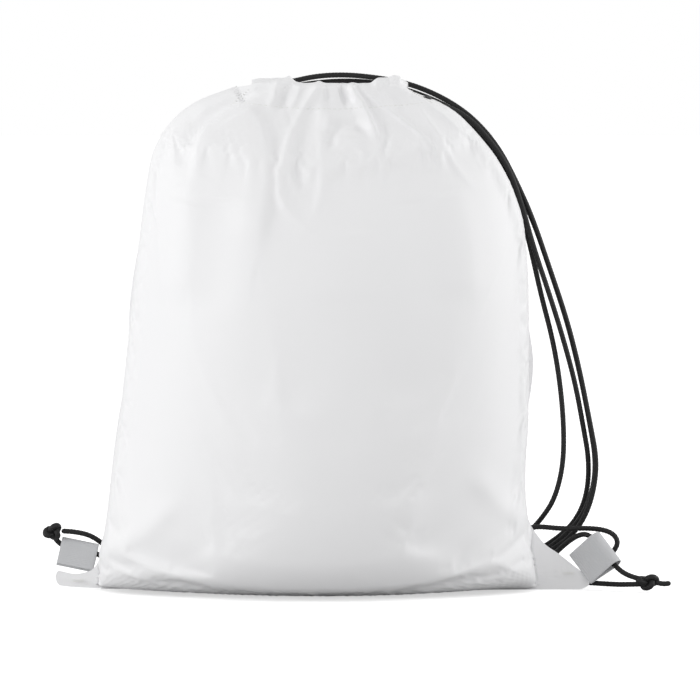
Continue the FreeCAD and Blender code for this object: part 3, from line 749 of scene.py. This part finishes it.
def settled(grid, side):
    rows, columns = grid.shape[:2]
    row_pick = np.unique(np.append(np.arange(0, rows, 2), rows - 1))
    column_pick = np.unique(np.append(np.arange(0, columns, 2), columns - 1))
    coarse = grid[np.ix_(row_pick, column_pick)]
    r, c = coarse.shape[:2]
    index = np.arange(r * c).reshape(r, c)
    faces = np.column_stack([index[:-1, :-1].ravel(), index[:-1, 1:].ravel(),
                             index[1:, 1:].ravel(), index[1:, :-1].ravel()])
    if side > 0:
        faces = faces[:, ::-1]
    trial = mesh_piece("settling_panel", coarse.reshape(-1, 3) * MM, faces.tolist())
    held = trial.vertex_groups.new(name="held")
    v = row_pick / (rows - 1)
    u = column_pick / (columns - 1)
    hold_v = np.maximum(1 - smoothstep(0.05, 0.16, v), smoothstep(0.80, 0.93, v))
    hold_u = 1 - smoothstep(0.0, 0.10, np.minimum(u, 1 - u))
    hold = np.maximum(hold_v[:, None], hold_u[None, :]).ravel()
    for i, weight in enumerate(hold):
        if weight > 0.01:
            held.add([i], float(weight), "REPLACE")
    cloth_modifier = trial.modifiers.new("Cloth", "CLOTH")
    settings = cloth_modifier.settings
    settings.quality = 6
    settings.mass = 0.12
    settings.tension_stiffness = settings.compression_stiffness = 30
    settings.shear_stiffness = 15
    settings.bending_stiffness = 1.2
    settings.vertex_group_mass = "held"
    settings.pin_stiffness = 1.0
    settings.shrink_min = -0.012
    settings.use_pressure = True
    settings.uniform_pressure_force = 0.6
    settings.effector_weights.gravity = 0.3
    cloth_modifier.collision_settings.use_collision = False
    scene = bpy.context.scene
    for number in range(1, SETTLE_FRAMES + 1):
        scene.frame_set(number)
    depsgraph = bpy.context.evaluated_depsgraph_get()
    after = np.array([p.co for p in trial.evaluated_get(depsgraph).data.vertices]) / MM
    scene.frame_set(1)
    bpy.data.objects.remove(trial)
    move = after.reshape(r, c, 3) - coarse
    far = np.linalg.norm(move, axis=-1, keepdims=True)
    move *= SETTLE_CAP * np.tanh(far / SETTLE_CAP) / np.maximum(far, 1e-9)
    print("settling moved the cloth by up to", round(float(far.max()), 2), "mm")
    all_u = np.arange(columns)
    wide = np.stack([[np.interp(all_u, column_pick, row[:, k]) for row in move] for k in range(3)], -1)
    tall = np.stack([
        np.stack([np.interp(np.arange(rows), row_pick, wide[:, j, k]) for j in range(columns)], -1)
        for k in range(3)
    ], -1)
    return grid + tall


# %% Make a double-sided sheet
def quads_of(rows, columns, keep=None):
    """The four-cornered faces of a grid of points; keep is a mask of the faces that stay."""
    index = np.arange(rows * columns).reshape(rows, columns)
    faces = np.stack([index[:-1, :-1], index[:-1, 1:], index[1:, 1:], index[1:, :-1]], axis=-1)
    return faces.reshape(-1, 4) if keep is None else faces[keep]


def cloth_sheet(name, grid, normal, uv, side, material, keep=None, thickness=CLOTH):
    """A thin closed sheet: the grid outside, a copy set in by the thickness, and a rim."""
    front = quads_of(*grid.shape[:2], keep)
    if side > 0:
        front = front[:, ::-1]
    used, front = np.unique(front, return_inverse=True)
    front = front.reshape(-1, 4)
    outer = grid.reshape(-1, 3)[used]
    outward = normal.reshape(-1, 3)[used]
    inner = outer - outward * thickness
    count = len(outer)
    edges = np.concatenate([front[:, [k, (k + 1) % 4]] for k in range(4)])
    known = {tuple(e) for e in edges.tolist()}
    border = np.array([e for e in edges.tolist() if (e[1], e[0]) not in known])
    rim = np.column_stack([border[:, 1], border[:, 0], border[:, 0] + count, border[:, 1] + count])
    faces = np.concatenate([front, front[:, ::-1] + count, rim])
    piece = mesh_piece(name, np.concatenate([outer, inner]) * MM, faces.tolist(), material)
    flat = uv.reshape(-1, 2)[used]
    add_uv(piece, np.tile(flat[:, 0], 2), np.tile(flat[:, 1], 2))
    piece.data.polygons.foreach_set("use_smooth", [True] * len(piece.data.polygons))
    piece.data.normals_split_custom_set_from_vertices(np.concatenate([outward, -outward]).tolist())
    return piece


# %% [markdown]
# The cloth itself is thin white polyester with a polyurethane coating: dense, soft and faintly
# satin, with a weave so fine that it only breaks up the highlights.

# %% White coated polyester
cloth, cloth_shader = new_material("white_coated_polyester")
cloth_shader.inputs["Base Color"].default_value = linear("#f3f3f4")
cloth_shader.inputs["Roughness"].default_value = 0.48
cloth_shader.inputs["Specular IOR Level"].default_value = 0.35
cloth_shader.inputs["Sheen Weight"].default_value = 0.05
threads = add(cloth, "ShaderNodeUVMap", uv_map="cloth_mm")
weave = add(cloth, "ShaderNodeTexNoise", {"Vector": threads.outputs["UV"], "Scale": 1.6, "Detail": 3.0})
grain = add(cloth, "ShaderNodeBump", {"Height": weave.outputs["Fac"], "Strength": 0.06, "Distance": 0.0004})
link(cloth, grain.outputs["Normal"], cloth_shader, "Normal")

# %% [markdown]
# ## The two panels and their casings
# Above the hem line the middle of each panel is the casing: the cloth goes on up, rolls over the
# top and comes down again inside as the hem's inner ply. The front casing is a piece of its own,
# cut from the same grid as the panel.

# %% Cut each panel into its body and its casing
CASING_COLUMNS = (0.19, 0.92)     # the part of a row that the casings take up
CASING_ROW = 0.9375               # the row where they start
# x and height of the roll over the front casing's top, then x and lift of both casings' tops
ROLL = [(-60, 0.6), (-40, 0.8), (-34, 1.4), (-26, 3.6), (-22.5, 4.6), (-18, 3.2), (-12, 3.3), (-6, 3.4),
        (-2.6, 4.4), (0.5, 3.4), (20, 3.3), (31, 3.4), (37, 4.6), (42, 4.2), (47, 4.8), (52, 3.4), (60, 1.0)]
LIFT = [(-60, 0.0), (-50, 1.8), (-41, 3.6), (-34, 3.6), (-26, 3.4), (-22.5, 4.0), (-18, 1.0), (-13, 0.0),
        (30, 0.0), (35, 2.2), (41, 3.4), (48, 4.6), (53, 3.4), (58, 0.0)]
BACK_LOWER = 1.4                  # the back casing stands this much lower
BACK_ROLL = 3.4                   # height of the roll along the back casing's top
CASING_TOP_STARTS = 0.95          # the row above which the top's own waves begin
ROLL_STEPS = 9
INNER_STEPS = 9
INNER_FOOT = 316.0                # where the hem's inner ply ends


def casing_rows(top, x_of_top, side):
    """Rows that roll over the casing's top and run down inside it as the inner ply."""
    lift = through(ROLL, x_of_top)[:, 0] if side < 0 else 0 * x_of_top + BACK_ROLL
    inner_y = side * INNER_PLY
    centre = (top[:, 1] + inner_y) / 2
    rows = []
    for turn in np.linspace(0, math.pi, ROLL_STEPS + 1)[1:]:
        y = centre + (top[:, 1] - centre) * math.cos(turn)
        rows.append(np.stack([top[:, 0], y, top[:, 2] + lift * math.sin(turn)], -1))
    for share in np.linspace(0, 1, INNER_STEPS + 1)[1:]:
        z = top[:, 2] + (INNER_FOOT - top[:, 2]) * share
        rows.append(np.stack([top[:, 0], 0 * z + inner_y, z], -1))
    return np.stack(rows)


panels = {}
for name, side, folds in (("front", -1, FRONT_FOLDS), ("back", 1, BACK_FOLDS)):
    grid, u, v = plain_panel(side)
    rise = through(LIFT, grid[..., 0].clip(-60, 58))[..., 0]
    grid[..., 2] += rise * smoothstep(CASING_TOP_STARTS, 1.0, v)[:, None]
    if side > 0:
        grid[..., 2] -= BACK_LOWER * smoothstep(CASING_TOP_STARTS, 1.0, v)[:, None]
    grid = settled(folded(grid, side, folds), side)
    uv = np.stack(np.meshgrid(u * FLAT_WIDTH, v * FLAT_HEIGHT), axis=-1)
    normal = normals_of(grid, side)
    first, last = (int(round(share * (COLUMNS - 1))) for share in CASING_COLUMNS)
    start = int(round(CASING_ROW * (LINES - 1)))
    keep = np.ones((LINES - 1, COLUMNS - 1), bool)
    keep[start:, first:last] = False
    body = cloth_sheet(name + "_cloth", grid, normal, uv, side, cloth, keep)
    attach(body, "bag")
    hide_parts(name + "_panel")

    block = grid[start:, first:last + 1]
    top = block[-1]
    rolled = casing_rows(top, top[:, 0], side)
    whole = np.concatenate([block, rolled])
    block_normal = normals_of(whole, side)
    block_normal[:len(block) - 2] = normal[start:, first:last + 1][:-2]
    along = np.concatenate([[0], np.cumsum(np.linalg.norm(np.diff(whole, axis=0), axis=-1).mean(1))])
    flat = np.stack(np.broadcast_arrays(uv[start, first:last + 1, 0][None, :],
                                        (v[start] * FLAT_HEIGHT + along)[:, None]), -1)
    casing = cloth_sheet(name + "_casing_cloth", whole, block_normal, flat, side, cloth)
    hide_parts(name + "_casing")
    panels[name] = {"block": block, "block_normal": block_normal, "casing": casing, "body": body}
    print(name, "panel has", len(body.data.polygons), "faces and its casing", len(casing.data.polygons))
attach(panels["back"]["casing"], "bag")
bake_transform(panels["front"]["casing"])

# %% [markdown]
# ## Thread
# The hems are closed with one row of lockstitch each, in thread of the cloth's own white, and each
# end of a casing is held by a bar tack. Every stitch is a small rod of thread, a little sunk in.

# %% Stitches along a line
thread, thread_shader = new_material("white_polyester_thread")
thread_shader.inputs["Base Color"].default_value = linear("#eeeeec")
thread_shader.inputs["Roughness"].default_value = 0.55
THREAD = 0.24                # radius


def thread_rods(name, pairs, body, node, radius=THREAD):
    """One mesh of short six-sided rods with pointed ends, each from one point to another."""
    points, faces = [], []
    for start, end in pairs:
        start, end = np.array(start, float), np.array(end, float)
        run = (end - start) / np.linalg.norm(end - start)
        side = np.cross(run, (0.31, 0.9, 0.2))
        side /= np.linalg.norm(side)
        up = np.cross(run, side)
        base = len(points)
        points.append(start)
        for place in (start + run * radius, end - run * radius):
            for k in range(6):
                turn = k * math.pi / 3
                points.append(place + radius * (math.cos(turn) * side + math.sin(turn) * up))
        points.append(end)
        for k in range(6):
            n = (k + 1) % 6
            a, b, c, d = base + 1 + k, base + 1 + n, base + 7 + n, base + 7 + k
            faces += [(base, b, a), (a, b, c, d), (base + 13, d, c)]
    piece = mesh_piece(name, np.array(points) * MM, faces, thread)
    piece.data.polygons.foreach_set("use_smooth", [True] * len(piece.data.polygons))
    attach(piece, body)
    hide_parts(node)
    print(name, "has", len(pairs), "stitches")


STITCH = 2.6
STITCH_PITCH = 3.6
HEM_STITCH_Z = 322.5
TACK_Z = 331.0               # middle of a bar tack


def along_line(points, normal, length, pitch):
    """Pairs of points for stitches of a length at a pitch along a line, a little sunk in."""
    run = np.concatenate([[0], np.cumsum(np.linalg.norm(np.diff(points, axis=0), axis=1))])
    lifted = points - normal * (THREAD * 0.35)
    pairs = []
    for start in np.arange(1.0, run[-1] - length, pitch):
        pairs.append([[np.interp(place, run, lifted[:, k]) for k in range(3)]
                      for place in (start, start + length)])
    return pairs


for name, body in (("front", "front_hem"), ("back", "bag")):
    block, normal = panels[name]["block"], panels[name]["block_normal"]
    row = int(np.argmin(np.abs(block[:, block.shape[1] // 2, 2] - HEM_STITCH_Z)))
    pairs = along_line(block[row, 4:-4], normal[row, 4:-4], STITCH, STITCH_PITCH)
    thread_rods(name + "_hem_thread", pairs, body, name + "_hem_stitches")
    tacks = []
    for column in (5, -6):
        line, out = block[:, column], normal[:len(block), column]
        middle = np.argmin(np.abs(line[:, 2] - TACK_Z))
        for step in range(-6, 7):
            i = int(np.clip(middle + step * 0.6, 0, len(line) - 1))
            centre = line[i] + out[i] * THREAD * 0.1 + np.array([0, 0, (step * 0.6) % 1 * 0.4])
            tacks.append([centre + (-0.9, 0, 0.15), centre + (0.9, 0, -0.15)])
    thread_rods(name + "_casing_bar_tacks", tacks, body, name + "_casing_tacks")

# %% [markdown]
# ## What stays from the frame
# The seam allowances inside the bag, the tacks at the corner loops and the blank care label are
# plain strips on the real bag too, so they stay as they are and only get their materials.

# %% Label satin and the pieces that stay
label, label_shader = new_material("white_label_satin")
label_shader.inputs["Base Color"].default_value = linear("#e9e9e7")
label_shader.inputs["Roughness"].default_value = 0.35
place = add(label, "ShaderNodeTexCoord")
ribs = add(label, "ShaderNodeTexWave", {"Vector": place.outputs["Object"], "Scale": 900.0})
ribbing = add(label, "ShaderNodeBump", {"Height": ribs.outputs["Fac"], "Strength": 0.15, "Distance": 0.0001})
link(label, ribbing.outputs["Normal"], label_shader, "Normal")

KEPT = {
    "left_side_seam": cloth,
    "right_side_seam": cloth,
    "bottom_seam": cloth,
    "left_loop_tack": thread,
    "right_loop_tack": thread,
    "care_label": label,
}
for name, material in KEPT.items():
    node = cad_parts[name]
    node.data.materials.clear()
    node.data.materials.append(material)
print(len(KEPT), "pieces stay as they are")
